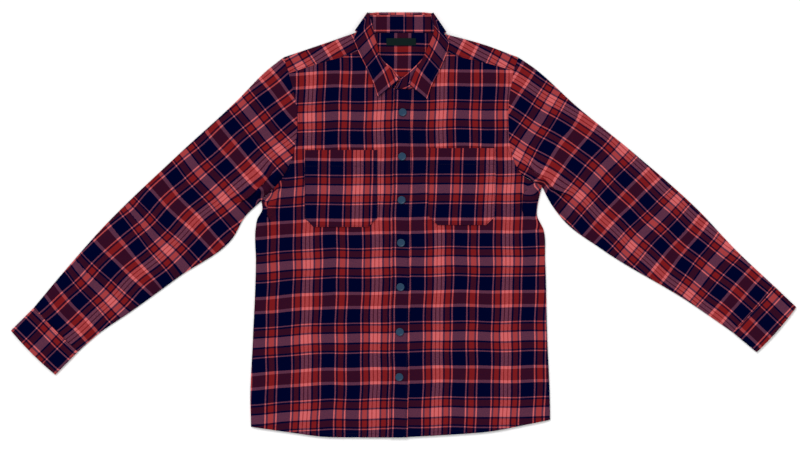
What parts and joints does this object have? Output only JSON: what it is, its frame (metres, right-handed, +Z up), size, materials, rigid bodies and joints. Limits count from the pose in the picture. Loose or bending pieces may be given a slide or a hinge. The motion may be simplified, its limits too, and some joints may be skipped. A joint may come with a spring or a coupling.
{
  "type": "flannel shirt",
  "caption": "Long-sleeved checked flannel shirt, buttoned up and laid flat on its back, with a turned-down collar, patch chest pockets and closed cuffs.",
  "frame": {"origin": "on the surface the shirt lies on, under the middle of its outline box", "axes": "+X towards the wearer's left cuff, +Y towards the collar, +Z up out of the front of the shirt"},
  "size_m": [1.4672, 0.7946, 0.0113],
  "materials": {
    "flannel": "brushed cotton twill in a navy, red and salmon check",
    "button": "satin resin",
    "label": "plain woven tape"
  },
  "bodies": {
    "root": {"back": "flannel", "yoke": "flannel", "front_right": "flannel", "front_left": "flannel", "front_band": "flannel", "pocket_right": "flannel", "pocket_left": "flannel", "sleeve_right": "flannel", "sleeve_left": "flannel", "cuff_right": "flannel", "cuff_left": "flannel", "collar_stand": "flannel", "collar_leaf": "flannel", "neck_label": "label", "button_1": "button", "button_2": "button", "button_3": "button", "button_4": "button", "button_5": "button", "button_6": "button", "button_7": "button"}
  },
  "joints": []
}
